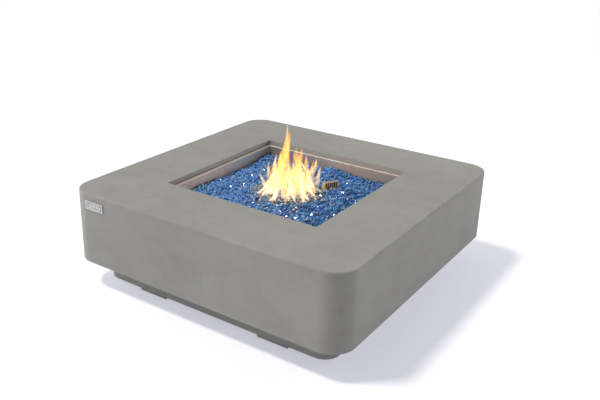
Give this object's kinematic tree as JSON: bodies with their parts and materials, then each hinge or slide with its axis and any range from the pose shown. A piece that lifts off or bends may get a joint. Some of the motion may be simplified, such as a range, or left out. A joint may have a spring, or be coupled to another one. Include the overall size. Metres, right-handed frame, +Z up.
{
  "type": "gas fire table",
  "caption": "Low square cast-concrete gas fire pit on a recessed plinth, with a drop-in burner tray, fire glass, a slotted pilot guard and recessed rear controls.",
  "frame": {"origin": "on the floor under the middle of the table", "axes": "+Z up, -Y towards the front face with the name plate, +Y towards the back face with the controls, +X towards the right face"},
  "size_m": [1.07, 1.0768, 0.35],
  "materials": {
    "cast_concrete": "matte cast concrete, fine pores",
    "stainless_steel": "brushed stainless sheet, heat-tinted near the flame",
    "galvanised_steel": "galvanised steel",
    "brass": "turned brass",
    "copper": "copper",
    "die_cast_aluminium": "die-cast, satin",
    "black_plastic": "moulded, fine texture",
    "black_rubber": "matte rubber",
    "red_silicone": "silicone-sheathed high-tension lead",
    "white_ceramic": "glazed insulator",
    "white_paint": "white pointer",
    "blue_fire_glass": "tempered glass chips, cobalt and teal"
  },
  "bodies": {
    "table": {"concrete_body": "cast_concrete", "base_plinth": "cast_concrete", "name_plate": "stainless_steel", "base_plate": "galvanised_steel", "hose_grommet": "black_rubber", "burner_tray": "stainless_steel", "ring_burner": "stainless_steel", "burner_standoff_front": "stainless_steel", "burner_standoff_back": "stainless_steel", "inlet_nipple": "brass", "tray_locknut_upper": "brass", "tray_locknut_lower": "brass", "air_mixer": "brass", "gas_elbow": "brass", "burner_line_nut": "brass", "valve_line_nut": "brass", "gas_line": "stainless_steel", "control_panel": "stainless_steel", "panel_screw_1": "stainless_steel", "panel_screw_2": "stainless_steel", "panel_screw_3": "stainless_steel", "panel_screw_4": "stainless_steel", "gas_valve": "die_cast_aluminium", "gas_inlet_fitting": "brass", "valve_neck_nut": "brass", "thermocouple_nut": "brass", "igniter_housing": "black_plastic", "igniter_nut": "black_plastic", "igniter_battery": "die_cast_aluminium", "battery_spring": "stainless_steel", "igniter_lead": "red_silicone", "thermocouple_lead": "copper", "pilot_bracket": "stainless_steel", "electrode_insulator": "white_ceramic", "electrode_rod": "stainless_steel", "thermocouple_tip": "copper", "bracket_screw": "stainless_steel", "pilot_guard": "stainless_steel", "guard_screw_left": "stainless_steel", "guard_screw_right": "stainless_steel", "fire_glass": "blue_fire_glass", "base_bolt_front_left": "galvanised_steel", "base_washer_front_left": "galvanised_steel", "base_bolt_front_right": "galvanised_steel", "base_washer_front_right": "galvanised_steel", "base_bolt_back_right": "galvanised_steel", "base_washer_back_right": "galvanised_steel", "base_bolt_back_left": "galvanised_steel", "base_washer_back_left": "galvanised_steel"},
    "valve_plug": {"valve_plug": "brass"},
    "knob": {"control_knob": "black_plastic", "valve_stem": "stainless_steel", "knob_pointer": "white_paint"},
    "cap": {"igniter_cap": "black_plastic"},
    "button": {"igniter_button": "stainless_steel"}
  },
  "joints": [
    {"name": "knob_turn", "type": "hinge", "parent": "table", "child": "valve_plug", "pos_m": [0.04, 0.5025, 0.215], "axis": [0, 1, 0], "range_deg": [0, 180]},
    {"name": "knob_push", "type": "slide", "parent": "valve_plug", "child": "knob", "axis": [0, -1, 0], "range_m": [0, 0.004], "stiffness_N_per_m": 900, "springref_m": -0.004},
    {"name": "cap_off", "type": "slide", "parent": "table", "child": "cap", "axis": [0, 1, 0], "range_m": [0, 0.06]},
    {"name": "button_push", "type": "slide", "parent": "cap", "child": "button", "axis": [0, -1, 0], "range_m": [0, 0.003], "stiffness_N_per_m": 600, "springref_m": -0.002}
  ]
}
